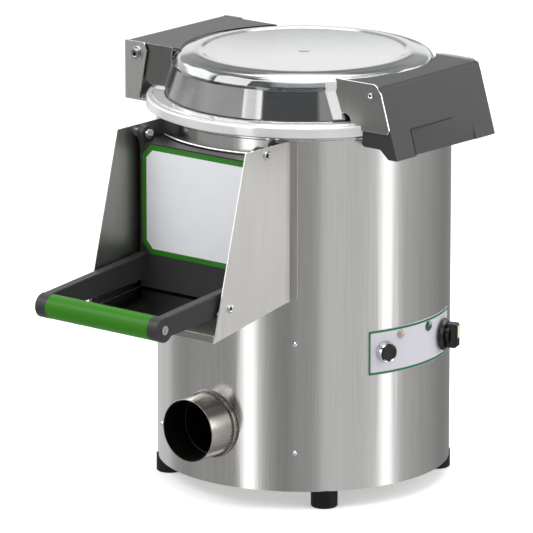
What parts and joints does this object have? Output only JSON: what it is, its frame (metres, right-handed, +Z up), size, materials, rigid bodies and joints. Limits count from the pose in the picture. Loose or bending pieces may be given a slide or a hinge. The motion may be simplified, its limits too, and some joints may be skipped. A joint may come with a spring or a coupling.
{
  "type": "electric potato peeler",
  "caption": "Floor or bench standing electric potato peeler: steel drum with a hinged clear lid, a swing-up discharge door with a handle, a chute and side controls.",
  "frame": {"origin": "on the drum's axis, in the plane that the feet stand on, which is the centre of the four sockets in the feet", "axes": "+Z up along the drum's axis, -Y towards the discharge chute, +X towards the lid's handle and the controls, -X towards the lid's hinge, +Y the back with the water inlet and cable gland"},
  "size_m": [0.4705, 0.67, 0.59],
  "materials": {
    "stainless": "vertically brushed",
    "bright_steel": "polished",
    "zinc_steel": "zinc plated",
    "rubber_black": "matt",
    "seal_rubber": "satin",
    "cast_aluminium": "as cast",
    "grit": "coarse bonded abrasive",
    "motor_paint": "satin enamel",
    "pulley_iron": "machined and oiled",
    "dark_plastic": "fine texture",
    "black_plastic": "satin",
    "grey_plastic": "smooth",
    "clear_plastic": "clear, polished",
    "green_grip": "satin",
    "label_sheet": "printed film",
    "panel_sheet": "printed film",
    "amber_lens": "tinted, domed",
    "green_lens": "tinted, domed"
  },
  "bodies": {
    "machine": {"drum_casing": "stainless", "feet": "rubber_black", "foot_screws": "zinc_steel", "base_plate": "stainless", "struts": "zinc_steel", "dome_screws": "bright_steel", "chamber_deck": "stainless", "chamber_liner": "grit", "bearing_housing": "cast_aluminium", "housing_bolts": "zinc_steel", "shaft_seal": "seal_rubber", "ball_bearings": "bright_steel", "drive_belt": "seal_rubber", "motor_posts": "zinc_steel", "motor_bracket": "zinc_steel", "motor": "motor_paint", "terminal_box": "grey_plastic", "drain_pipe": "stainless", "water_inlet": "bright_steel", "cable_gland": "black_plastic", "control_label": "panel_sheet", "button_bezel": "bright_steel", "button_switch": "black_plastic", "timer_body": "grey_plastic", "chute_floor": "stainless", "chute_screws": "bright_steel", "door_pivots": "bright_steel", "lid_sensor": "black_plastic", "hinge_bracket": "stainless", "hinge_bolts": "bright_steel", "cheek_left": "stainless", "cheek_right": "stainless", "lamp_amber": "amber_lens", "lamp_green": "green_lens"},
    "lid": {"lid_shell": "clear_plastic", "lid_gasket": "seal_rubber", "lid_handle": "dark_plastic", "lid_magnet": "zinc_steel", "lid_handle_screws": "bright_steel", "hinge_frame": "stainless", "lid_side_plate_front": "stainless", "lid_side_plate_rear": "stainless"},
    "door": {"door_panel": "dark_plastic", "door_liner": "grit", "door_gasket": "seal_rubber", "door_label": "label_sheet", "handle_tube": "bright_steel", "handle_grip": "green_grip", "handle_screws": "zinc_steel", "door_arm_left": "dark_plastic", "door_arm_right": "dark_plastic"},
    "disc": {"peeling_disc": "cast_aluminium", "abrasive_disc": "grit", "drive_shaft": "zinc_steel", "disc_nut": "bright_steel", "driven_pulley": "pulley_iron"},
    "rotor": {"motor_shaft": "zinc_steel", "motor_pulley": "pulley_iron"},
    "timer": {"timer_knob": "black_plastic"},
    "button": {"push_button": "black_plastic"}
  },
  "joints": [
    {"name": "lid_hinge", "type": "hinge", "parent": "machine", "child": "lid", "pos_m": [-0.206, 0, 0.5725], "axis": [0, -1, 0], "range_deg": [0, 100]},
    {"name": "door_hinge", "type": "hinge", "parent": "machine", "child": "door", "pos_m": [0, -0.2163, 0.4965], "axis": [-1, 0, 0], "range_deg": [0, 75]},
    {"name": "disc_spin", "type": "hinge", "parent": "machine", "child": "disc", "pos_m": [0, 0, 0], "axis": [0, 0, 1], "continuous": true},
    {"name": "rotor_spin", "type": "hinge", "parent": "machine", "child": "rotor", "pos_m": [0, 0.1154, 0], "axis": [0, 0, 1], "continuous": true},
    {"name": "timer_turn", "type": "hinge", "parent": "machine", "child": "timer", "pos_m": [0.19097, 0.06205, 0.21], "axis": [0.9511, 0.309, 0], "range_deg": [-300, 0]},
    {"name": "button_press", "type": "slide", "parent": "machine", "child": "button", "axis": [-0.9511, 0.309, 0], "range_m": [0, 0.003], "stiffness_N_per_m": 400, "springref_m": -0.002}
  ],
  "couplings": [
    {"joint": "rotor_spin", "follows": "disc_spin", "ratio": 4}
  ]
}
